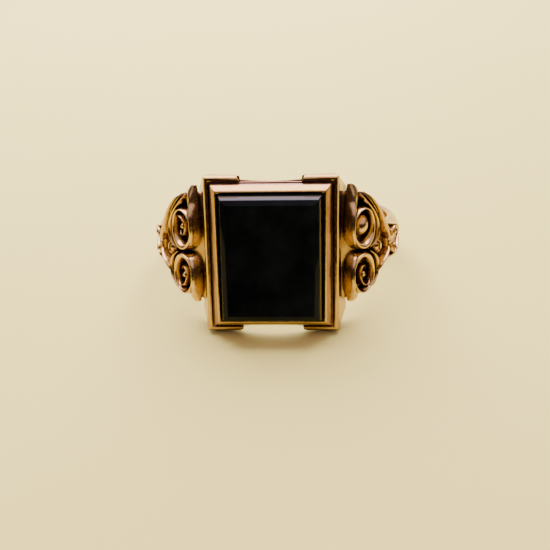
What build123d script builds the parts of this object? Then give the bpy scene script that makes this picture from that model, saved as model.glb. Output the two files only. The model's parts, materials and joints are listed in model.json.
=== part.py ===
from build123d import *
import math
import os

# Men's signet ring with a black onyx tablet, built as a goldsmith builds it.
#
# A tapered shank is soldered to two shoulder plates, the plates to a flared head, and the head
# carries a notched top plate, a moulded bezel rim, an inner seat and the stone. Each shoulder is
# dressed with applied scrollwork: two volutes with beads, leaves, tail scrolls, small scrolls, a
# knot and a tie. Lengths are millimetres.
#
# The pieces are drawn in the ring's own frame: origin at the centre of the finger hole, +Z along
# the finger, -Y towards the stone's face. At the end everything is laid on a table as the ring
# comes to rest, on its lower corner blocks and the back of its shank.


# ---- driving dimensions ----
# Finger hole, shank and shoulder plates
finger_radius = 9.5            # US size 9
shank_thickness = 1.3          # at the crown, at the back of the band
shank_side = 0.35              # upright side of the shank's section before its crown starts
shank_back_width = 2.1
shank_front_width = 2.6        # where the shank meets the shoulder plates
plate_thickness = 1.0          # shoulder plate, over the finger hole
shoulder_width = 9.6           # where the shoulder plates meet the head

# Stone
stone_width = 8.0
stone_length = 10.0
stone_rise = 1.25              # table over the crest of the rim
stone_seated = 0.6             # how deep it sits under the crest
stone_bevel = (0.38, 0.22)     # width and drop of the bevel round the table
stone_side = (0.27, 1.05)      # width and drop of the steep side under the bevel

# Head, from the finger hole outwards
arch_wall = 0.15               # gallery over the top of the finger hole
top_plate_thickness = 0.25
rim_height = 1.05              # crest of the rim over the top plate
stone_clearance = 0.03
seat_ledge = 0.7               # how far the seat reaches under the stone
collet_wall = 0.3              # rim wall beside the seat
rim_foot = 0.64                # rim moulding's width on the top plate
rim_edge = 0.3                 # upright foot of the rim's outer slope
crest_inner = 0.1              # crest starts and ends this far outside the stone's edge
crest_outer = 0.22
crest_round = 0.08
plate_border = 0.52            # raised border outside the rim
border_gap = 0.03              # slit between rim and border
border_height = 0.12
border_round = 0.1
head_flare = 0.6               # how much wider each side of the head is at the back
head_draft = 0.1               # how much shorter each end of the head is at the back
corner_cut_width = 1.0         # corners of the head, cut away towards the back
corner_cut_length = 1.15
corner_break = 0.1             # the same corners at the front
notch_width = 4.7              # gap between the corner blocks, at its floor
notch_step = 0.12              # from the rim's foot to the gap's floor
notch_flare = 0.25             # each end of the gap leans out by this
notch_sag = 0.1                # the gap's floor is hollow by this much

# Scrollwork
volute_radius = 1.98
volute_parting = 0.07          # from the shoulder's middle line to each volute
volute_height = 0.9
volute_turns = 1.1
volute_start = 112.0           # where the band starts, counted from the line away from the head
band_half_width = 0.38
band_end_half_width = 0.2
volute_eye = 0.72              # where the band's middle line ends, from the volute's middle
bead_radius = 0.45
bead_height = 0.7
leaf_half_width = 0.27
leaf_height = 0.6
leaf_arc = (68.0, -20.0)       # how far the leaf hugs the volute
tail_half_width = 0.24
tail_height = 0.7
knot_reach = 1.27              # from the volute's edge to the knot's middle
knot_radius = 0.42
knot_height = 0.62
tie_gap = 0.1                  # between the tie and both volutes
tie_radius = 0.45
tie_height = 0.8
small_scroll_radius = 0.66
small_scroll_gap = 0.4         # from the knot to the small scrolls
small_scroll_parting = 0.08
small_scroll_height = 0.5
small_scroll_turns = 1.1
small_band_half_width = 0.12
part_gap = 0.03                # between neighbouring pieces of scrollwork
plain_shoulder = 3.2           # from the small scrolls to the shank

# ---- worked out ----
plate_radius = finger_radius + plate_thickness
stone_half = (stone_width / 2, stone_length / 2)
# Levels over the centre of the finger hole
plate_back = finger_radius + arch_wall
plate_face = plate_back + top_plate_thickness
crest_level = plate_face + rim_height
table_level = crest_level + stone_rise
stone_bottom = crest_level - stone_seated
collet_inner = tuple(half + stone_clearance for half in stone_half)
collet_outer = tuple(half + collet_wall for half in collet_inner)
rim_outer = tuple(half + stone_clearance + rim_foot for half in stone_half)
head_half = tuple(half + border_gap + plate_border for half in rim_outer)
head_depth = plate_back - math.sqrt(finger_radius**2 - (head_half[0] + head_flare) ** 2)
# Along the finger, from the middle of the shoulder
volute_offset = volute_radius + volute_parting
small_scroll_offset = small_scroll_radius + small_scroll_parting
# Degrees round from the stone's face
head_edge = math.degrees(math.asin((head_half[0] + head_flare / 2) / plate_radius))
volute_angle = head_edge + math.degrees(math.asin(volute_radius / plate_radius))
tie_reach = math.sqrt((volute_radius + tie_gap + tie_radius) ** 2 - volute_offset**2)
tie_angle = volute_angle + math.degrees(math.asin(tie_reach / plate_radius))
knot_x = volute_radius + knot_reach
knot_angle = volute_angle + math.degrees(math.asin(knot_x / plate_radius))
small_scroll_run = knot_radius + small_scroll_gap + small_scroll_radius
small_scroll_angle = knot_angle + math.degrees(small_scroll_run / plate_radius)
shoulder_end_run = small_scroll_radius + plain_shoulder
shank_start = small_scroll_angle + math.degrees(shoulder_end_run / plate_radius)
REACH = 3 * finger_radius      # longer than anything it cuts


def on_band(radius, degrees, along=0.0):
    """A point at a radius round the finger, counted from the stone's face towards +X."""
    a = math.radians(degrees)
    return Vector(radius * math.sin(a), -radius * math.cos(a), along)


def facing_out(degrees, radius):
    """A plane that touches the band: its X runs away from the stone and its Y along the finger."""
    a = math.radians(degrees)
    return Plane(
        origin=on_band(radius, degrees),
        x_dir=(math.cos(a), math.sin(a), 0),
        z_dir=(math.sin(a), -math.cos(a), 0),
    )


def facing_stone(height):
    """A plane parallel to the stone's table: its X is the ring's X and its Y the finger's line."""
    return Plane(origin=(0, -height, 0), x_dir=(1, 0, 0), z_dir=(0, -1, 0))


def rod(radius):
    """A round bar along the finger."""
    return Cylinder(radius, REACH)


def frame_ring(outer, inner, low, high):
    """A rectangular frame between two levels over the finger's centre."""
    sketch = Rectangle(2 * outer[0], 2 * outer[1]) - Rectangle(2 * inner[0], 2 * inner[1])
    return extrude(facing_stone(low) * sketch, amount=high - low)


def ribbon(path, half_width, samples=20):
    """A flat band along a path, with a half width that depends on how far along it is."""
    sides = ([], [])
    for k in range(samples + 1):
        t = k / samples
        middle, tangent = path @ t, path % t
        across = Vector(-tangent.Y, tangent.X, 0)
        sides[0].append(middle + across * half_width(t))
        sides[1].append(middle - across * half_width(t))
    left, right = Spline(*sides[0]), Spline(*sides[1])
    return make_face([left, Line(left @ 1, right @ 1), right, Line(right @ 0, left @ 0)])


def spiral(radius, eye, start, turns, points=16):
    """A spiral line from a radius to its eye, turning anticlockwise."""
    marks = []
    for k in range(points + 1):
        t = k / points
        angle = math.radians(start + 360 * turns * t)
        reach = radius + (eye - radius) * t
        marks.append((reach * math.cos(angle), reach * math.sin(angle)))
    return Spline(*marks)


def relief(sketch, degrees, height):
    """A flat shape stood on a shoulder plate, with its top following the plate."""
    foot = facing_out(degrees, finger_radius)
    block = extrude(foot * sketch, amount=plate_thickness + 2 * height, dir=foot.z_dir)
    return block & (rod(plate_radius + height) - rod(plate_radius))


def bead(degrees, along, radius, height):
    """A grain of metal soldered on a shoulder plate, standing a height over it."""
    ball = Sphere(radius).moved(Location(on_band(plate_radius + height - radius, degrees, along)))
    return ball - rod(plate_radius)


# ---- head ----
def tapered_block(half, points):
    """Rectangles grown from a half size by (outset, level) points, joined by flat slopes."""
    solids = []
    for start, end in zip(points, points[1:]):
        outlines = [
            facing_stone(level) * Rectangle(*(2 * (h + outset) for h in half))
            for outset, level in (start, end)
        ]
        solids.append(loft(outlines, ruled=True))
    return solids[0].fuse(*solids[1:]).clean()


def make_stone():
    """The onyx tablet: an upright girdle, a steep side and a bevel round its table."""
    bevel_foot = table_level - stone_bevel[1]
    points = [
        (0, stone_bottom),
        (0, bevel_foot - stone_side[1]),
        (-stone_side[0], bevel_foot),
        (-stone_side[0] - stone_bevel[0], table_level),
    ]
    return tapered_block(stone_half, points)


def make_bezel_rim():
    """The moulded rim round the stone. It is rebated below to sit over the seat."""
    foot = stone_clearance + rim_foot
    outside = [
        (foot, plate_face),
        (foot, plate_face + rim_edge),
        (crest_outer + crest_round, crest_level - crest_round),
        (crest_outer, crest_level),
    ]
    inside = [
        (stone_clearance, stone_bottom),
        (stone_clearance, crest_level - crest_round),
        (crest_inner, crest_level),
    ]
    rebate = extrude(
        facing_stone(plate_face) * Rectangle(*(2 * half for half in collet_outer)),
        amount=stone_bottom - plate_face,
    )
    return tapered_block(stone_half, outside) - tapered_block(stone_half, inside) - rebate


def notches():
    """What is cut away between the corner blocks, at both ends of the head."""
    floor = rim_outer[1] + notch_step
    half = notch_width / 2
    outline = make_face(
        [
            ThreePointArc((-half, floor + notch_sag), (0, floor), (half, floor + notch_sag)),
            Line((half, floor + notch_sag), (half + notch_flare, floor + 2 * plate_border)),
            Line(
                (half + notch_flare, floor + 2 * plate_border),
                (-half - notch_flare, floor + 2 * plate_border),
            ),
            Line((-half - notch_flare, floor + 2 * plate_border), (-half, floor + notch_sag)),
        ]
    )
    upper = extrude(facing_stone(0) * outline, amount=REACH, dir=(0, -1, 0))
    return upper + mirror(upper, about=Plane.XY)


def make_top_plate():
    """The plate under the rim. Its raised border is left at the sides and the corner blocks."""
    plate = frame_ring(head_half, collet_outer, plate_back, plate_face)
    border_inner = tuple(half + border_gap for half in rim_outer)
    border = frame_ring(head_half, border_inner, plate_face, plate_face + border_height)
    top_edges = border.edges().filter_by_position(
        Axis.Y, -(plate_face + border_height) - 1e-4, -(plate_face + border_height) + 1e-4
    )
    return plate + fillet(top_edges, border_round) - notches()


def make_head():
    """The flared walls under the top plate, cut to fit the finger."""
    front, back = [], []
    for outline, half, cut in (
        (front, head_half, (corner_break, corner_break)),
        (
            back,
            (head_half[0] + head_flare, head_half[1] - head_draft),
            (corner_cut_width, corner_cut_length),
        ),
    ):
        for sx, sy, first in ((1, 1, 1), (-1, 1, 0), (-1, -1, 1), (1, -1, 0)):
            side = (sx * half[0], sy * (half[1] - cut[1]))
            end = (sx * (half[0] - cut[0]), sy * half[1])
            outline += [side, end] if first else [end, side]
    walls = loft(
        [
            facing_stone(plate_back) * make_face(Polyline(*front, close=True)),
            facing_stone(plate_back - head_depth) * make_face(Polyline(*back, close=True)),
        ],
        ruled=True,
    )
    window = extrude(
        facing_stone(0) * Rectangle(*(2 * half for half in collet_outer)), amount=REACH
    )
    return walls, walls - window - rod(finger_radius) - notches()


def make_seat():
    """The ledge that the stone rests on, inside the top plate and the rim's rebate."""
    opening = tuple(half - seat_ledge for half in stone_half)
    return frame_ring(collet_outer, opening, plate_back, stone_bottom)


# ---- band ----
def make_shank():
    """A D-section band between the shoulder plates, planed narrower towards its back."""
    half, crown = shank_front_width / 2, shank_thickness - shank_side
    side = finger_radius + shank_side
    a = math.radians(shank_start)
    start = Plane(
        origin=(0, 0, 0), x_dir=(math.sin(a), -math.cos(a), 0), z_dir=(math.cos(a), math.sin(a), 0)
    )
    section = make_face(
        [
            Line((finger_radius, -half), (side, -half)),
            EllipticalCenterArc((side, 0), crown, half, start_angle=-90, arc_size=180),
            Line((side, half), (finger_radius, half)),
            Line((finger_radius, half), (finger_radius, -half)),
        ]
    )
    band = revolve(start * section, axis=Axis.Z, revolution_arc=360 - 2 * shank_start)
    taper = (shank_front_width - shank_back_width) / 2 / (finger_radius + shank_thickness)
    side_on = Plane(origin=(0, 0, 0), x_dir=(0, 1, 0), z_dir=(1, 0, 0))
    side_view = make_face(
        Polyline(
            (-REACH, half + taper * REACH),
            (REACH, half - taper * REACH),
            (REACH, -half + taper * REACH),
            (-REACH, -half - taper * REACH),
            close=True,
        )
    )
    return band & extrude(side_on * side_view, amount=REACH, both=True)


def make_shoulder_plate(head_block):
    """A curved plate from the head to the shank, narrowing away from the head."""
    near = finger_radius * math.cos(math.radians(20))
    end = plate_radius * math.cos(math.radians(shank_start))
    volute_top = volute_offset + volute_radius
    scroll_top = small_scroll_offset + small_scroll_radius
    waist = (volute_angle + knot_angle) / 2
    edge = Spline(
        (-near, shoulder_width / 2),
        (-plate_radius * math.cos(math.radians(volute_angle)), volute_top + leaf_half_width),
        (-plate_radius * math.cos(math.radians(waist)), volute_top - leaf_half_width),
        (-plate_radius * math.cos(math.radians(knot_angle)), scroll_top + tail_half_width),
        (-end, shank_front_width / 2),
        tangents=((1, -0.1), (1, 0)),
    )
    lower = mirror(edge, about=Plane.XZ)
    outline = make_face(
        [edge, Line(edge @ 1, lower @ 1), lower, Line(lower @ 0, edge @ 0)]
    )
    side_on = Plane(origin=(0, 0, 0), x_dir=(0, 1, 0), z_dir=(1, 0, 0))
    slab = extrude(side_on * outline, amount=REACH, dir=(1, 0, 0))
    a = math.radians(shank_start)
    stop = Plane(origin=(0, 0, 0), x_dir=(0, 0, 1), z_dir=(math.cos(a), math.sin(a), 0))
    beyond = extrude(stop * Rectangle(REACH, REACH), amount=REACH)
    return (slab & (rod(plate_radius) - rod(finger_radius))) - head_block - beyond


# ---- scrollwork of the upper right quarter ----
def make_volute():
    """A tapered band wound into a spiral beside the head."""
    radius = volute_radius - band_half_width
    path = spiral(radius, volute_eye, volute_start, volute_turns)
    taper = lambda t: band_half_width + (band_end_half_width - band_half_width) * t
    band = Pos(0, volute_offset) * ribbon(path, taper, samples=28)
    return relief(band, volute_angle, volute_height)


def make_leaf():
    """A crescent that hugs the volute from the shoulder's edge to the knot."""
    reach = volute_radius + part_gap + leaf_half_width
    path = CenterArc((0, 0), reach, leaf_arc[0], leaf_arc[1] - leaf_arc[0])
    crescent = ribbon(path, lambda t: leaf_half_width * (0.4 + 0.6 * math.sin(math.pi * t)))
    return relief(Pos(0, volute_offset) * crescent, volute_angle, leaf_height)


def make_tail():
    """A strand that springs from the leaf's back and runs past the knot to the small scroll."""
    start = volute_radius + 2 * (part_gap + leaf_half_width) + tail_half_width
    path = Spline(
        (start * math.cos(math.radians(15)), volute_offset + start * math.sin(math.radians(15))),
        (knot_x - 0.15, volute_offset - 0.45),
        (knot_x + small_scroll_gap, small_scroll_offset),
    )
    strand = ribbon(path, lambda t: tail_half_width * (0.5 + 0.5 * math.sin(math.pi * t)))
    return relief(strand, volute_angle, tail_height)


def make_small_scroll():
    """A small scroll on the narrow part of the shoulder, beyond the knot."""
    radius = small_scroll_radius - small_band_half_width
    path = spiral(radius, small_scroll_radius / 3, 235, small_scroll_turns, points=12)
    band = Pos(0, small_scroll_offset) * ribbon(
        path, lambda t: small_band_half_width * (1 - 0.4 * t), samples=20
    )
    return relief(band, small_scroll_angle, small_scroll_height)


def make_parts():
    """Every piece, by name, in the ring's own frame."""
    head_block, head = make_head()
    plate = make_shoulder_plate(head_block)
    volute = make_volute() - head_block
    quarter = {
        "volute": volute,
        "volute_bead": bead(volute_angle, volute_offset, bead_radius, bead_height),
        "leaf": make_leaf(),
        "tail_scroll": make_tail(),
        "small_scroll": make_small_scroll(),
    }
    side = {
        "shoulder_plate": plate,
        "knot_bead": bead(knot_angle, 0, knot_radius, knot_height),
        "centre_tie": bead(tie_angle, 0, tie_radius, tie_height),
    }
    made = {
        "onyx_tablet": make_stone(),
        "bezel_rim": make_bezel_rim(),
        "top_plate": make_top_plate(),
        "head_gallery": head,
        "stone_seat": make_seat(),
        "shank": make_shank(),
    }
    for name, shape in side.items():
        made[name + "_right"] = shape
        made[name + "_left"] = mirror(shape, about=Plane.YZ)
    for name, shape in quarter.items():
        lower = mirror(shape, about=Plane.XY)
        made[name + "_upper_right"] = shape
        made[name + "_upper_left"] = mirror(shape, about=Plane.YZ)
        made[name + "_lower_right"] = lower
        made[name + "_lower_left"] = mirror(lower, about=Plane.YZ)
    return made


# ---- as it rests on the table ----
def resting_place(made):
    """Lays the ring on its head's lower corners and its shank, over its footprint's middle."""
    upright, flat = 0.0, 45.0
    for _ in range(24):
        lean = Rotation(-(upright + flat) / 2, 0, 0)
        head = (lean * made["head_gallery"]).bounding_box().min.Z
        shank = (lean * made["shank"]).bounding_box().min.Z
        if head < shank:
            upright = (upright + flat) / 2
        else:
            flat = (upright + flat) / 2
    footprint = (lean * Compound(list(made.values()))).bounding_box()
    return Pos(0, -footprint.center().Y, -footprint.min.Z) * lean


def main():
    os.makedirs("parts", exist_ok=True)
    made = make_parts()
    place = resting_place(made)
    for name, shape in made.items():
        export_step(place * shape, f"parts/{name}.step")


main()
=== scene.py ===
import json
import math

import bmesh
import bpy
import numpy as np
from mathutils import Matrix, Vector


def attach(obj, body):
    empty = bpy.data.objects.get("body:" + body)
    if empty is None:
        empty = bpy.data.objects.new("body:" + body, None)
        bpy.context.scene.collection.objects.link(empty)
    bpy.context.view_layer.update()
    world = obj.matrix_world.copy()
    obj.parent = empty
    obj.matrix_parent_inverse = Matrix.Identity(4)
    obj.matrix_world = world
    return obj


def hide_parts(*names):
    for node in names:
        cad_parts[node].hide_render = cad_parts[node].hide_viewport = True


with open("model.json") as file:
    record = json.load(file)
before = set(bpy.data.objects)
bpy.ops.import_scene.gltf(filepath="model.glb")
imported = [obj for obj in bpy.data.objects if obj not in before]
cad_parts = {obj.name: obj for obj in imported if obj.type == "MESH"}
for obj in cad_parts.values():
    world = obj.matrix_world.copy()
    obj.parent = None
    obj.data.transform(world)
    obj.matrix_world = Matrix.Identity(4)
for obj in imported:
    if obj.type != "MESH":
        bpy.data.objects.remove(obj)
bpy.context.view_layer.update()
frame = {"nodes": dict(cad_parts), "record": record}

# ---- the ring's own frame, in millimetres: origin at the centre of the finger hole, +Z along
# the finger, -Y towards the stone. RING takes it to the row's frame, in metres. ----
MM = 0.001
mounts = {m["name"]: m for m in frame["record"]["mounts"]}
bore = mounts["finger_bore"]
FINGER = bore["dims"]["r_mm"]
origin = Vector(bore["pos_m"])
axis_z = Vector(bore["axis"]).normalized()
axis_x = Vector((1, 0, 0))
axis_y = axis_z.cross(axis_x)
TURN = Matrix((axis_x, axis_y, axis_z)).transposed()
RING = Matrix.Translation(origin) @ TURN.to_4x4() @ Matrix.Scale(MM, 4)
TABLE = (Vector(mounts["stone_table"]["pos_m"]) - origin).length / MM

# ---- sizes, in millimetres ----
PLATE = FINGER + 1.0           # outside of the shoulder plates
STONE_HALF = (4.0, 5.0)
CREST = TABLE - 1.25           # crest of the rim
BAND_BACK = (1.05, 1.3)        # half width and thickness of the shank at the back
BAND_SIDE = (1.3, 1.0)         # the same where it meets the shoulder plates
SHANK_START = 91.0             # degrees from the middle of the head
HEAD_EDGE = 30.0               # degrees, where the shoulder plates come out from the head
RUN_RADIUS = 11                # radius at which lengths along the shoulder are measured
FOOT = -0.15                   # how deep the ornament is let into the plates
BEND = 24                      # steps between two control rows of a strand
FLOOR_HALF = 1.2               # metres

QUARTERS = [(s, l) for s in ("right", "left") for l in ("upper", "lower")]


# ---- materials ----
def new_material(name):
    mat = bpy.data.materials.new(name)
    mat.use_nodes = True
    nodes, links = mat.node_tree.nodes, mat.node_tree.links
    shader = nodes["Principled BSDF"]
    coords = nodes.new("ShaderNodeTexCoord")
    scale = nodes.new("ShaderNodeVectorMath")
    scale.operation = "SCALE"
    scale.inputs["Scale"].default_value = 1 / MM
    links.new(coords.outputs["Object"], scale.inputs[0])
    return mat, nodes, links, shader, scale.outputs[0]


def noise(nodes, links, coords, scale, detail=4.0, rough=0.55, stretch=None):
    if stretch:
        mapping = nodes.new("ShaderNodeMapping")
        mapping.inputs["Scale"].default_value = stretch
        links.new(coords, mapping.inputs["Vector"])
        coords = mapping.outputs["Vector"]
    tex = nodes.new("ShaderNodeTexNoise")
    tex.inputs["Scale"].default_value = scale
    tex.inputs["Detail"].default_value = detail
    tex.inputs["Roughness"].default_value = rough
    links.new(coords, tex.inputs["Vector"])
    return tex.outputs["Fac"]


def ramp(nodes, links, value, *stops):
    node = nodes.new("ShaderNodeValToRGB")
    points = node.color_ramp.elements
    while len(points) < len(stops):
        points.new(0.5)
    for point, (at, colour) in zip(points, stops):
        point.position = at
        point.color = (*colour, 1)
    links.new(value, node.inputs["Fac"])
    return node.outputs["Color"]


def blend(nodes, links, how, fac, a, b):
    node = nodes.new("ShaderNodeMix")
    node.data_type = "RGBA"
    node.blend_type = how
    for socket, value in ((node.inputs[0], fac), (node.inputs[6], a), (node.inputs[7], b)):
        if isinstance(value, (float, int)):
            socket.default_value = value
        elif isinstance(value, tuple):
            socket.default_value = (*value, 1)
        else:
            links.new(value, socket)
    return node.outputs[2]


def gold_material(name, bright, deep, rough, reach, clear_level):
    """Polished gold, with tone drifting over it, hairline wear, and dark patina plus painted shade in its
    crevices.
    """
    mat, nodes, links, shader, coords = new_material(name)
    drift = ramp(nodes, links, noise(nodes, links, coords, 0.45), (0.3, deep), (0.7, bright))
    crevice = nodes.new("ShaderNodeAmbientOcclusion")
    crevice.samples = 8
    crevice.inputs["Distance"].default_value = reach * MM
    patina_and_shade = ramp(nodes, links, crevice.outputs["AO"], (clear_level - 0.5, (0, 0, 0)), (clear_level, (1, 1, 1)))
    # patina and painted shade: a near-black colour mixed in where ambient occlusion finds crevices
    colour = blend(nodes, links, "MIX", patina_and_shade, (0.045, 0.022, 0.024), drift)
    links.new(colour, shader.inputs["Base Color"])
    shader.inputs["Metallic"].default_value = 1.0
    wear = noise(nodes, links, coords, 2.5, 6.0, 0.7)
    low, high = (rough - 0.05,) * 3, (rough + 0.1,) * 3
    links.new(ramp(nodes, links, wear, (0.35, low), (0.75, high)), shader.inputs["Roughness"])
    scratches = noise(nodes, links, coords, 6.0, 3.0, 0.5, (1.0, 5.0, 0.6))
    bump = nodes.new("ShaderNodeBump")
    bump.inputs["Strength"].default_value = 0.12
    bump.inputs["Distance"].default_value = 0.02 * MM
    links.new(scratches, bump.inputs["Height"])
    dents = nodes.new("ShaderNodeBump")
    dents.inputs["Strength"].default_value = 0.35
    dents.inputs["Distance"].default_value = 0.05 * MM
    links.new(noise(nodes, links, coords, 0.9, 2.0), dents.inputs["Height"])
    links.new(bump.outputs["Normal"], dents.inputs["Normal"])
    links.new(dents.outputs["Normal"], shader.inputs["Normal"])
    return mat


def onyx_material():
    """Black onyx with a high polish, faint clouds and a few fine rubs."""
    mat, nodes, links, shader, coords = new_material("onyx")
    clouds = noise(nodes, links, coords, 0.5, 5.0)
    colour = ramp(nodes, links, clouds, (0.35, (0.0015, 0.002, 0.003)), (0.8, (0.006, 0.008, 0.010)))
    links.new(colour, shader.inputs["Base Color"])
    rubs = noise(nodes, links, coords, 3.0, 6.0, 0.7, (0.5, 1.0, 3.0))
    links.new(ramp(nodes, links, rubs, (0.4, (0.03,) * 3), (0.8, (0.08,) * 3)), shader.inputs["Roughness"])
    shader.inputs["IOR"].default_value = 1.54
    shader.inputs["Specular IOR Level"].default_value = 0.07
    bump = nodes.new("ShaderNodeBump")
    bump.inputs["Strength"].default_value = 0.05
    bump.inputs["Distance"].default_value = 0.01 * MM
    links.new(rubs, bump.inputs["Height"])
    links.new(bump.outputs["Normal"], shader.inputs["Normal"])
    return mat


def floor_material():
    """Pale cream paper."""
    mat, nodes, links, shader, coords = new_material("floor_paper")
    tone = noise(nodes, links, coords, 0.03, 3.0)
    colour = ramp(nodes, links, tone, (0.3, (0.87, 0.73, 0.19)), (0.7, (0.89, 0.75, 0.215)))
    links.new(colour, shader.inputs["Base Color"])
    shader.inputs["Roughness"].default_value = 0.9
    grain = nodes.new("ShaderNodeBump")
    grain.inputs["Strength"].default_value = 0.1
    grain.inputs["Distance"].default_value = 0.05 * MM
    links.new(noise(nodes, links, coords, 2.0, 4.0), grain.inputs["Height"])
    links.new(grain.outputs["Normal"], shader.inputs["Normal"])
    return mat


GOLD = gold_material("gold", (0.50, 0.325, 0.11), (0.44, 0.275, 0.085), 0.2, 1.2, 0.85)
ORNAMENT = gold_material("gold_ornament", (0.68, 0.47, 0.20), (0.60, 0.40, 0.16), 0.22, 0.55, 0.72)
BAND = gold_material("gold_band", (0.58, 0.35, 0.12), (0.50, 0.29, 0.09), 0.3, 0.8, 0.7)
# painted shade: a darker copy of the gold, for faces picked by place and facing
SHADED_GOLD = gold_material("gold_painted_shade", (0.34, 0.19, 0.10), (0.22, 0.11, 0.065), 0.3, 1.0, 0.8)
ONYX = onyx_material()


# ---- meshes ----
def piece(name, points, faces, material, slot, *stands_for, sharp=40):
    """A piece of the ring from points in its own frame."""
    mesh = bpy.data.meshes.new(name)
    mesh.from_pydata([RING @ Vector(map(float, p)) for p in points], [], faces)
    mesh.validate()
    bm = bmesh.new()
    bm.from_mesh(mesh)
    bmesh.ops.remove_doubles(bm, verts=bm.verts, dist=0.0005 * MM)
    bmesh.ops.recalc_face_normals(bm, faces=bm.faces)
    bm.to_mesh(mesh)
    bm.free()
    mesh.shade_smooth()
    mesh.set_sharp_from_angle(angle=math.radians(sharp))
    mesh.materials.append(material)
    obj = bpy.data.objects.new(name, mesh)
    bpy.context.scene.collection.objects.link(obj)
    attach(obj, "root")
    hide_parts(*stands_for)
    return obj


def tone(obj, chosen):
    """Gives the faces that chosen picks, from centre and normal in the ring's frame, painted shade: a
    darker copy of the gold.
    """
    obj.data.materials.append(SHADED_GOLD)
    back = RING.inverted()
    turn = TURN.transposed()
    for face in obj.data.polygons:
        if chosen(back @ face.center, turn @ face.normal):
            face.material_index = 1


def soften(obj, width, segments=3, angle=32):
    """Wears the piece's edges to a small radius."""
    bevel = obj.modifiers.new("worn_edges", "BEVEL")
    bevel.width = width * MM
    bevel.segments = segments
    bevel.limit_method = "ANGLE"
    bevel.angle_limit = math.radians(angle)
    bevel.use_clamp_overlap = True
    even = obj.modifiers.new("even_shading", "WEIGHTED_NORMAL")
    even.keep_sharp = False


def worn_copy(node, material, width):
    """A CAD node's own shape with its edges worn, standing for that node."""
    mesh = frame["nodes"][node].data.copy()
    mesh.name = node + "_worn"
    matrix = frame["nodes"][node].matrix_world
    bm = bmesh.new()
    bm.from_mesh(mesh)
    bm.transform(matrix)
    bmesh.ops.remove_doubles(bm, verts=bm.verts, dist=0.0005 * MM)
    flat = math.radians(1.5)
    bmesh.ops.dissolve_limit(bm, angle_limit=flat, verts=bm.verts, edges=bm.edges)
    bmesh.ops.recalc_face_normals(bm, faces=bm.faces)
    bm.to_mesh(mesh)
    bm.free()
    mesh.shade_smooth()
    mesh.materials.clear()
    mesh.materials.append(material)
    obj = bpy.data.objects.new(node + "_worn", mesh)
    bpy.context.scene.collection.objects.link(obj)
    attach(obj, "root")
    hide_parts(node)
    soften(obj, width)
    return obj


def skin(rows, round_rows=False, round_columns=False, caps=False):
    """Points and faces of a sheet of rows of points."""
    n, m = len(rows), len(rows[0])
    points = [p for row in rows for p in row]
    faces = []
    for i in range(n if round_rows else n - 1):
        for j in range(m if round_columns else m - 1):
            a, b = i * m + j, i * m + (j + 1) % m
            c, d = ((i + 1) % n) * m + (j + 1) % m, ((i + 1) % n) * m + j
            faces.append((a, b, c, d))
    if caps:
        faces.append(tuple(range(m)))
        faces.append(tuple(reversed(range((n - 1) * m, n * m))))
    return points, faces


def join(*parts):
    """Several (points, faces) as one."""
    points, faces = [], []
    for more_points, more_faces in parts:
        base = len(points)
        points += list(more_points)
        faces += [tuple(base + i for i in f) for f in more_faces]
    return points, faces


def through(controls, count):
    """Rows of numbers on a smooth curve through the control rows, evenly spaced."""
    rows = np.array(controls, float)
    padded = np.vstack([2 * rows[0] - rows[1], rows, 2 * rows[-1] - rows[-2]])
    fine = []
    for i in range(len(rows) - 1):
        p0, p1, p2, p3 = padded[i : i + 4]
        for t in np.linspace(0, 1, BEND, endpoint=False):
            fine.append(
                0.5 * (2 * p1 + (p2 - p0) * t + (2 * p0 - 5 * p1 + 4 * p2 - p3) * t**2
                       + (3 * p1 - p0 - 3 * p2 + p3) * t**3)
            )
    fine.append(rows[-1])
    fine = np.array(fine)
    plane = np.stack([np.radians(fine[:, 0]) * RUN_RADIUS, fine[:, 1]], 1)
    run = np.concatenate([[0], np.cumsum(np.linalg.norm(np.diff(plane, axis=0), axis=1))])
    at = np.linspace(0, run[-1], count)
    return np.stack([np.interp(at, run, fine[:, k]) for k in range(fine.shape[1])], 1)


def on_shoulder(run, v, h):
    """A point at arc length run and height v, h over the shoulder plate."""
    a = run / RUN_RADIUS
    return ((PLATE + h) * math.sin(a), -(PLATE + h) * math.cos(a), v)


def strand(controls, count=90, across=15, closed=False, lean=2.0):
    """A modelled strand. Each control row is angle, height along the finger, width to the right
    and to the left of its crest line, and relief; the crest follows the rows."""
    rows = through(controls, count)
    run, v = np.radians(rows[:, 0]) * RUN_RADIUS, rows[:, 1]
    if closed:
        wrapped = [np.concatenate([q[-3:-1], q, q[1:3]]) for q in (run, v)]
        along = np.stack([np.gradient(q)[2:-2] for q in wrapped], 1)
    else:
        along = np.stack([np.gradient(run), np.gradient(v)], 1)
    along /= np.linalg.norm(along, axis=1)[:, None]
    out = []
    for i in range(len(rows)):
        side = (-along[i, 1], along[i, 0])
        right, left, relief = rows[i, 2:5]
        row = []
        for u in np.linspace(-1, 1, across):
            d = u * (left if u > 0 else right)
            h = relief * (1 - abs(u) ** lean) if abs(u) < 1 else 0
            row.append(on_shoulder(run[i] + side[0] * d, v[i] + side[1] * d, max(h, 0.0)))
        for u in (1, -1):
            d = u * (left if u > 0 else right)
            row.append(on_shoulder(run[i] + side[0] * d, v[i] + side[1] * d, FOOT))
        out.append(row)
    return skin(out, round_columns=True, caps=not closed)


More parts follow.
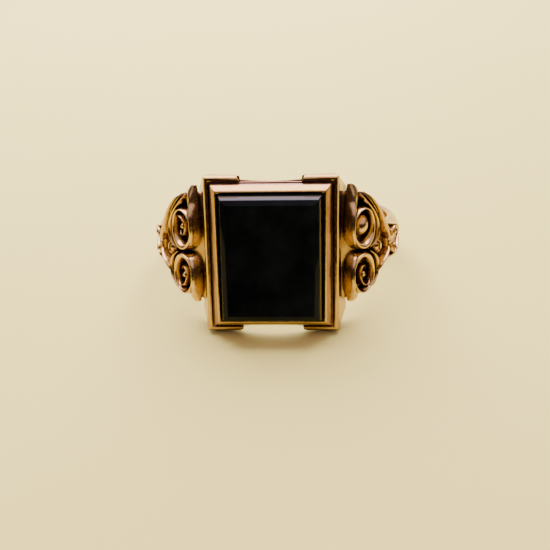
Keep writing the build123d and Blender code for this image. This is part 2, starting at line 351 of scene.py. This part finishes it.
def dome(angle, v, half, relief, tilt=0.0, rings=9, round_=28, point=0.0):
    """A bead; point draws it out into a drop towards its tilt."""
    run = math.radians(angle) * RUN_RADIUS
    rows = []
    for i in range(rings + 1):
        t = i / rings * math.pi / 2
        r, h = math.cos(t), relief * math.sin(t)
        rows.append([])
        for j in range(round_):
            b = 2 * math.pi * j / round_
            x, y = half[0] * r * math.cos(b), half[1] * r * math.sin(b)
            y += point * r * max(0, math.sin(b)) ** 4
            x, y = (x * math.cos(tilt) - y * math.sin(tilt), x * math.sin(tilt) + y * math.cos(tilt))
            rows[-1].append(on_shoulder(run + x, v + y, h))
    turns = [2 * math.pi * j / round_ for j in range(round_)]
    foot = [on_shoulder(run + half[0] * math.cos(b), v + half[1] * math.sin(b), FOOT) for b in turns]
    return skin([foot] + rows, round_columns=True, caps=True)


def squared(sheet, side, level):
    """The same pieces in another quarter of the ring."""
    sx, sz = (1 if side == "right" else -1), (1 if level == "upper" else -1)
    return [(sx * x, y, sz * z) for x, y, z in sheet[0]], sheet[1]


def moulding(half, profile):
    """A mitred rectangular frame. The profile is (outset, level) pairs, closed round."""
    rows = []
    for out, level in profile:
        w, l = half[0] + out, half[1] + out
        rows.append([(w, -level, l), (-w, -level, l), (-w, -level, -l), (w, -level, -l)])
    return rows


# ---- stone ----
def rectangle_ring(w, l, level, r):
    """Points round a rectangle with a small corner radius."""
    row = []
    for cx, cz, start in ((1, 1, 0), (-1, 1, 90), (-1, -1, 180), (1, -1, 270)):
        for k in range(5):
            a = math.radians(start + 22.5 * k)
            row.append((cx * (w - r) + r * math.cos(a), -level, cz * (l - r) + r * math.sin(a)))
    return row


def make_stone():
    """The tablet: steep sides, a bevel and a flat table."""
    w, l = STONE_HALF
    profile = [
        (0, CREST - 0.6, 0.1), (0, CREST - 0.05, 0.1), (-0.02, CREST + 0.02, 0.1),
        (-0.255, TABLE - 0.27, 0.09), (-0.275, TABLE - 0.235, 0.09), (-0.30, TABLE - 0.21, 0.08),
        (-0.60, TABLE - 0.035, 0.05), (-0.65, TABLE - 0.01, 0.04), (-0.70, TABLE, 0.03),
    ]
    rows = [rectangle_ring(w + out, l + out, level, r) for out, level, r in profile]
    points, faces = skin(rows, round_columns=True, caps=True)
    stone = piece("onyx_polished", points, faces, ONYX, "onyx", "onyx_tablet", sharp=50)
    stone.modifiers.new("flat_table", "WEIGHTED_NORMAL").weight = 100


# ---- bezel ----
def make_bezel():
    """The mitred rim, with painted shade on its left and right slopes and on its lower part."""
    foot = CREST - 1.05
    profile = [
        (0.03, foot + 0.45), (0.03, CREST - 0.10), (0.05, CREST - 0.04), (0.09, CREST - 0.005),
        (0.14, CREST), (0.20, CREST - 0.02), (0.28, CREST - 0.075), (0.37, CREST - 0.17),
        (0.46, CREST - 0.30), (0.54, CREST - 0.45), (0.60, CREST - 0.61), (0.64, CREST - 0.76),
        (0.66, CREST - 0.86), (0.67, foot), (0.33, foot), (0.33, foot + 0.45),
    ]
    rows = moulding(STONE_HALF, profile)
    points, faces = skin(rows, round_rows=True, round_columns=True)
    rim = piece("bezel_moulding", points, faces, GOLD, "gold", "bezel_rim", sharp=40)
    # painted shade: faces below the crest that face left or right, and the whole lower part, take the
    # darker shaded gold
    tone(rim, lambda c, n: -c.y < CREST - 0.12 and abs(n.x) > abs(n.z) or -c.y < CREST - 0.6)
    soften(rim, 0.05, 3, 40)


def make_border():
    """The thin plate under the rim and the rounded border on it, which the notches interrupt."""
    face = CREST - 1.05
    profile = [
        (0.72, face - 0.26), (0.72, face - 0.05), (0.76, face - 0.02), (0.81, face + 0.05),
        (0.86, face + 0.09), (0.92, face + 0.10), (1.00, face + 0.085), (1.08, face + 0.045),
        (1.15, face - 0.01), (1.20, face - 0.07), (1.232, face - 0.14), (1.235, face - 0.26),
    ]
    notch, flare = 2.35, 0.25
    parts = []
    for sx in (1, -1):
        rows = []
        for end in (1, -1):
            ends = []
            for start in (notch, notch + 0.08, None):
                ends.append([
                    (
                        sx * (start + flare * (out - 0.72) / 0.5 if start else STONE_HALF[0] + out),
                        -level, end * (STONE_HALF[1] + out),
                    )
                    for out, level in profile
                ])
            rows += ends if end == 1 else list(reversed(ends))
        parts.append(skin(rows, round_columns=True, caps=True))
    web = [(0.33, face - 0.25), (0.33, face), (0.74, face), (0.78, face - 0.04), (0.78, face - 0.25)]
    parts.append(skin(moulding(STONE_HALF, web), round_rows=True, round_columns=True))
    points, faces = join(*parts)
    border = piece("border_rounded", points, faces, GOLD, "gold", "top_plate", sharp=45)
    # painted shade: the web and the border's inner slope, the cove between border and rim, take the darker
    # shaded gold
    groove = 0.84
    tone(border, lambda c, n: max(abs(c.x) - STONE_HALF[0], abs(c.z) - STONE_HALF[1]) < groove)
    soften(border, 0.04, 3, 45)


# ---- band ----
def make_band(name, start, stop, upper, lower, thick, material, slot, node, count=120):
    """A strip round the finger. upper, lower and thick are functions of the angle."""
    rows = []
    for a in np.linspace(start, stop, count):
        top, bottom, t = upper(a), -lower(a), thick(a)
        mid, half = (top + bottom) / 2, (top - bottom) / 2
        edge = 0.45 * t if half < 1.6 else 0.82 * t
        row = []
        for u in np.linspace(-1, 1, 25):
            h = edge + (t - edge) * (1 - abs(u) ** 2.6)
            w = half * (1 - 0.035 * (abs(u) > 0.97))
            row.append((mid + u * w, h))
        row += [(top, edge * 0.8), (top, edge * 0.3), (top - 0.05, 0.05), (top - 0.14, 0.0)]
        row += [(mid + u * (half - 0.3), 0.0) for u in (0.6, 0, -0.6)]
        row += [(bottom + 0.14, 0.0), (bottom + 0.05, 0.05)]
        row += [(bottom, edge * 0.3), (bottom, edge * 0.8)]
        b = math.radians(a)
        rows.append([((FINGER + h) * math.sin(b), -(FINGER + h) * math.cos(b), v) for v, h in row])
    points, faces = skin(rows, round_columns=True, caps=True)
    return piece(name, points, faces, material, slot, node, sharp=60)


def table_of(*pairs):
    """A smooth function through (angle, value) pairs."""
    xs, ys = zip(*pairs)
    def value(a):
        fine = np.interp([a - 2.5, a - 1.25, a, a + 1.25, a + 2.5], xs, ys)
        return float(fine.mean())
    return value


upper_edge = table_of(
    (28, 4.9), (36, 4.75), (42, 4.35), (47, 3.75), (52, 3.0),
    (57, 2.3), (63, 1.75), (72, 1.4), (95, 1.29),
)
lower_edge = table_of(
    (28, 4.2), (36, 3.9), (41, 3.3), (45, 2.4), (48, 1.75),
    (52, 1.3), (58, 1.18), (72, 1.25), (95, 1.29),
)


def make_shank():
    """The plain band behind the shoulders."""
    def width(a):
        far = abs(a - 180) / (180 - SHANK_START)
        return BAND_BACK[0] + (BAND_SIDE[0] - BAND_BACK[0]) * far**1.3
    def thick(a):
        far = abs(a - 180) / (180 - SHANK_START)
        return BAND_BACK[1] + (BAND_SIDE[1] - BAND_BACK[1]) * min(1, far) ** 2
    make_band(
        "shank_polished", SHANK_START, 360 - SHANK_START, width, width, thick, BAND, "gold", "shank",
        count=200,
    )


def make_plates():
    """The two plates that carry the ornament."""
    for side, sign in (("right", 1), ("left", -1)):
        low, high = (HEAD_EDGE, SHANK_START) if sign > 0 else (-SHANK_START, -HEAD_EDGE)
        make_band(
            "shoulder_body_" + side, low, high, lambda a: upper_edge(abs(a)),
            lambda a: lower_edge(abs(a)), lambda a: 1.0, GOLD, "gold", "shoulder_plate_" + side,
        )


# ---- scrollwork of a quarter, drawn for the upper right ----
def eye_ring():
    """The volute's ring: a crest round the eye, wide inside below and outside to the right."""
    rows = []
    for k in range(25):
        b = math.radians(200 - 15 * k)
        below = max(0, -math.sin(b))
        rightward = max(0, math.cos(b))
        rows.append((
            39.9 + 5.4 * math.cos(b), 1.83 + 1.55 * math.sin(b),
            0.13 + 0.42 * below**1.5 + 0.05 * rightward,
            0.22 + 0.18 * rightward + 0.03 * below, 0.92 - 0.08 * rightward,
        ))
    return strand(rows, 130, 17, closed=True, lean=2.2)


def flank(reach):
    """The long leaf that sweeps down beside the head and under the volute."""
    rows = [
        (34.8, 5.38, 0.05, 0.05, 0.08), (35.5, 5.0, 0.30, 0.55, 0.24), (36.0, 4.45, 0.44, 0.85, 0.46),
        (35.9, 3.9, 0.50, 0.68, 0.58), (35.3, 3.35, 0.5, 0.42, 0.80), (34.7, 2.75, 0.48, 0.2, 0.96),
        (34.4, 2.1, 0.46, 0.14, 1.02), (34.6, 1.4, 0.44, 0.14, 0.95), (35.6, 0.78, 0.38, 0.14, 0.80),
        (37.3, 0.38, 0.26, 0.12, 0.62), (39.6, 0.18, 0.1, 0.1, 0.4),
    ]
    rows = [(a, v if v < 2.9 else 2.9 + (v - 2.9) * reach, *rest) for a, v, *rest in rows]
    return strand(rows, 100, 21, lean=1.9)


def ribs(reach):
    """Two flutes that fan out over the volute and close round its right side."""
    first = [
        (38.6, 4.72, 0.05, 0.05, 0.2), (40.2, 4.3, 0.18, 0.15, 0.62), (42.7, 3.66, 0.2, 0.17, 0.8),
        (45.6, 2.95, 0.2, 0.17, 0.86), (47.8, 2.15, 0.2, 0.18, 0.86), (48.3, 1.3, 0.22, 0.18, 0.86),
        (47.0, 0.6, 0.22, 0.18, 0.82), (44.3, 0.14, 0.12, 0.12, 0.6),
    ]
    second = [
        (40.6, 4.66, 0.04, 0.04, 0.15), (42.3, 4.3, 0.12, 0.12, 0.55), (45.0, 3.66, 0.14, 0.14, 0.7),
        (47.5, 2.95, 0.13, 0.13, 0.7), (49.3, 2.15, 0.07, 0.07, 0.45),
    ]
    def shrink(rows):
        return [(a, v if v < 2.5 else 2.5 + (v - 2.5) * reach, *rest) for a, v, *rest in rows]
    return join(strand(shrink(first), 80, 13), strand(shrink(second), 60, 11))


def long_strand(reach):
    """The strand that runs on to the narrow part, with a small leaf; a short one for the lower quarters."""
    rows = [
        (42.3, 4.6, 0.05, 0.05, 0.2), (44.4, 4.15, 0.22, 0.18, 0.7), (47.4, 3.45, 0.26, 0.22, 0.88),
        (50.2, 2.6, 0.27, 0.25, 0.94), (52.8, 1.75, 0.27, 0.25, 0.92), (55.4, 0.98, 0.25, 0.24, 0.86),
        (57.8, 0.42, 0.16, 0.16, 0.66), (59.4, 0.18, 0.06, 0.06, 0.3),
    ]
    if reach < 1:
        rows = [
            (49.4, 2.35, 0.04, 0.04, 0.2), (50.4, 1.85, 0.16, 0.15, 0.7), (52.0, 1.36, 0.2, 0.2, 0.86),
            (54.4, 0.94, 0.22, 0.22, 0.86), (57.2, 0.5, 0.18, 0.18, 0.7), (59.4, 0.18, 0.06, 0.06, 0.3),
        ]
    leaf = [
        (56.0, 2.05, 0.03, 0.03, 0.1), (56.6, 1.7, 0.13, 0.1, 0.42), (58.2, 1.25, 0.14, 0.12, 0.5),
        (60.4, 0.95, 0.06, 0.06, 0.3),
    ]
    leaf = [(a, v * (0.75 + 0.25 * reach), *rest) for a, v, *rest in leaf]
    return join(strand(rows, 80, 13), strand(leaf, 40, 11))


def small_scroll():
    """A hooked scroll on the narrow part, and the rim that closes it off."""
    rows = []
    for k in range(20):
        t = k / 19
        b = math.radians(215 - 400 * t)
        r = 0.55 - 0.34 * t
        rows.append((
            66.0 + math.degrees(r * math.cos(b) / RUN_RADIUS), 0.68 + r * math.sin(b),
            0.13 - 0.05 * t, 0.11 - 0.04 * t, 0.5 - 0.1 * t,
        ))
    rim = [
        (60.0, 1.45, 0.05, 0.05, 0.15), (64.0, 1.32, 0.12, 0.12, 0.36), (70.0, 1.12, 0.12, 0.12, 0.36),
        (74.0, 0.75, 0.12, 0.12, 0.3), (76.5, 0.25, 0.08, 0.08, 0.2), (78.0, 0.02, 0.04, 0.04, 0.1),
    ]
    return join(strand(rows, 90, 11), strand(rim, 60, 11))


def eye(side, level):
    """The bead or hook in the middle of a volute; the upper right one differs from the other three, as hand
    work does.
    """
    if (side, level) == ("right", "upper"):
        return dome(40.6, 1.95, (0.66, 0.82), 0.78, tilt=-0.25, point=0.12)
    hook = [
        (44.6, 2.35, 0.1, 0.05, 0.5), (43.2, 2.75, 0.14, 0.1, 0.7), (41.2, 2.85, 0.16, 0.12, 0.78),
        (39.2, 2.5, 0.16, 0.12, 0.78), (38.4, 1.9, 0.15, 0.12, 0.74), (39.6, 1.4, 0.14, 0.11, 0.66),
        (41.6, 1.3, 0.11, 0.1, 0.56), (42.8, 1.6, 0.06, 0.06, 0.4),
    ]
    return join(strand(hook, 80, 13), dome(41.0, 2.0, (0.3, 0.34), 0.62))


def make_scrollwork():
    """The four quarters, then the knots and ties on the centre line. The lower quarters are shorter."""
    for side, level in QUARTERS:
        reach = 1.0 if level == "upper" else 0.5
        tag = level + "_" + side
        made = {
            "volute": join(eye_ring(), flank(reach)),
            "volute_bead": eye(side, level),
            "leaf": ribs(reach),
            "tail_scroll": long_strand(reach),
            "small_scroll": small_scroll(),
        }
        for kind, sheet in made.items():
            points, faces = squared(sheet, side, level)
            name = {"volute": "volute_ring", "volute_bead": "volute_eye", "leaf": "flute_ribs",
                    "tail_scroll": "long_strand", "small_scroll": "hook_scroll"}[kind]
            piece(name + "_" + tag, points, faces, ORNAMENT, "gold_ornament", kind + "_" + tag, sharp=70)
    for side in ("right", "left"):
        for kind, sheet in {
            "knot_bead": join(
                dome(60.4, 0, (0.34, 0.3), 0.52),
                strand([
                    (57.0, -0.95, 0.04, 0.04, 0.2), (57.6, -0.4, 0.12, 0.12, 0.5),
                    (57.8, 0, 0.14, 0.14, 0.56),
                    (57.6, 0.4, 0.12, 0.12, 0.5), (57.0, 0.95, 0.04, 0.04, 0.2),
                ], 40, 11),
            ),
            "centre_tie": join(
                dome(50.6, 0, (0.55, 0.6), 0.62),
                strand([
                    (48.9, -0.75, 0.04, 0.04, 0.3), (49.6, -0.35, 0.13, 0.13, 0.66),
                    (49.8, 0, 0.15, 0.15, 0.72),
                    (49.6, 0.35, 0.13, 0.13, 0.66), (48.9, 0.75, 0.04, 0.04, 0.3),
                ], 40, 11),
            ),
        }.items():
            points, faces = squared(sheet, side, "upper")
            name = {"knot_bead": "knot", "centre_tie": "tie"}[kind] + "_modelled_" + side
            piece(name, points, faces, ORNAMENT, "gold_ornament", kind + "_" + side, sharp=70)


make_stone()
make_bezel()
make_border()
make_shank()
make_plates()
make_scrollwork()
for node, width in (("head_gallery", 0.07), ("stone_seat", 0.03)):
    worn_copy(node, GOLD, width)


# ---- floor, light and camera ----
def make_floor():
    mesh = bpy.data.meshes.new("floor")
    r = FLOOR_HALF
    mesh.from_pydata([(-r, -r, 0), (r, -r, 0), (r, r, 0), (-r, r, 0)], [], [(0, 1, 2, 3)])
    mesh.materials.append(floor_material())
    obj = bpy.data.objects.new("floor", mesh)
    bpy.context.scene.collection.objects.link(obj)


def make_card(name, place, size, power, colour, glossy_only=False):
    """A large soft light that faces the ring. Places are in millimetres, in the row's frame."""
    data = bpy.data.lights.new(name, "AREA")
    data.shape = "RECTANGLE"
    data.size, data.size_y = size[0] * MM, size[1] * MM
    data.energy = power
    data.color = colour
    obj = bpy.data.objects.new(name, data)
    obj.location = Vector(place) * MM
    aim = Vector((0, 0, 5 * MM)) - obj.location
    obj.rotation_mode = "QUATERNION"
    obj.rotation_quaternion = aim.to_track_quat("-Z", "Y")
    obj.visible_camera = False
    if glossy_only:
        obj.visible_diffuse = False
    bpy.context.scene.collection.objects.link(obj)
    return obj


def make_flag():
    """A black studio flag in front, so that what faces the camera reflects dark."""
    mesh = bpy.data.meshes.new("flag")
    corners = [
        (-160, -38, 0.5), (160, -38, 0.5), (160, -60, 6), (-160, -60, 6), (160, -110, 90), (-160, -110, 90),
    ]
    mesh.from_pydata([[c * MM for c in p] for p in corners], [], [(0, 1, 2, 3), (3, 2, 4, 5)])
    mat, nodes, links, shader, coords = new_material("flag_cloth")
    weave = noise(nodes, links, coords, 1.5, 4.0)
    tone = ramp(nodes, links, weave, (0.3, (0.012, 0.008, 0.007)), (0.7, (0.020, 0.013, 0.010)))
    links.new(tone, shader.inputs["Base Color"])
    shader.inputs["Roughness"].default_value = 1.0
    shader.inputs["Specular IOR Level"].default_value = 0.0
    mesh.materials.append(mat)
    obj = bpy.data.objects.new("flag", mesh)
    obj.visible_camera = False
    obj.visible_shadow = False
    obj.visible_diffuse = False
    bpy.context.scene.collection.objects.link(obj)


def make_light():
    """A key light, two cards seen only in reflections, the flag, and a dome that is dark low down.
    The camera sees a plain pale backdrop where the floor ends."""
    make_card("softbox", (-15, 84, 128), (210, 230), 1.02, (1.0, 0.98, 0.94)).visible_glossy = False
    make_card("glow_card", (-15, 75, 130), (200, 240), 1.2, (1.0, 0.80, 0.92), True)
    make_card("back_card", (-10, 110, 22), (220, 50), 0.04, (0.60, 0.5, 1.0), True)
    make_flag()
    world = bpy.data.worlds.new("studio")
    world.use_nodes = True
    nodes, links = world.node_tree.nodes, world.node_tree.links
    coords = nodes.new("ShaderNodeTexCoord")
    height = nodes.new("ShaderNodeSeparateXYZ")
    links.new(coords.outputs["Generated"], height.inputs[0])
    sky = ramp(
        nodes, links, height.outputs["Z"],
        (0.0, (0.05, 0.038, 0.05)), (0.3, (0.15, 0.11, 0.15)),
        (0.65, (0.95, 0.74, 0.90)), (1.0, (1.2, 1.0, 1.14)),
    )
    links.new(sky, nodes["Background"].inputs["Color"])
    nodes["Background"].inputs["Strength"].default_value = 1.0
    paper = nodes.new("ShaderNodeBackground")
    paper.inputs["Color"].default_value = (0.60, 0.43, 0.25, 1.0)
    seen = nodes.new("ShaderNodeLightPath")
    mix = nodes.new("ShaderNodeMixShader")
    links.new(seen.outputs["Is Camera Ray"], mix.inputs[0])
    links.new(nodes["Background"].outputs[0], mix.inputs[1])
    links.new(paper.outputs[0], mix.inputs[2])
    links.new(mix.outputs[0], nodes["World Output"].inputs["Surface"])
    bpy.context.scene.world = world


def make_camera():
    """Seen a little from the right of the stone's middle and from above, as a close-up."""
    swing, rise, far, roll = 3.52, 15.57, 68.42, -1.11
    aim = Vector((0.22, -10, -1.58))
    a, e, r = math.radians(swing), math.radians(rise), math.radians(roll)
    away = Vector((math.sin(a) * math.cos(e), -math.cos(a) * math.cos(e), math.sin(e)))
    place = aim + away * far
    right = (-away).cross(Vector((0, 0, 1))).normalized()
    up = right.cross(-away)
    turned_right = right * math.cos(r) + up * math.sin(r)
    turned_up = -right * math.sin(r) + up * math.cos(r)
    data = bpy.data.cameras.new("camera")
    data.sensor_width = 36
    data.lens = 57.2
    data.clip_start = 1 * MM
    data.clip_end = 10
    obj = bpy.data.objects.new("camera", data)
    rotation = TURN @ Matrix((turned_right, turned_up, away)).transposed()
    obj.matrix_world = Matrix.Translation(RING @ place) @ rotation.to_4x4()
    bpy.context.scene.collection.objects.link(obj)
    bpy.context.scene.camera = obj


make_floor()
make_light()
make_camera()
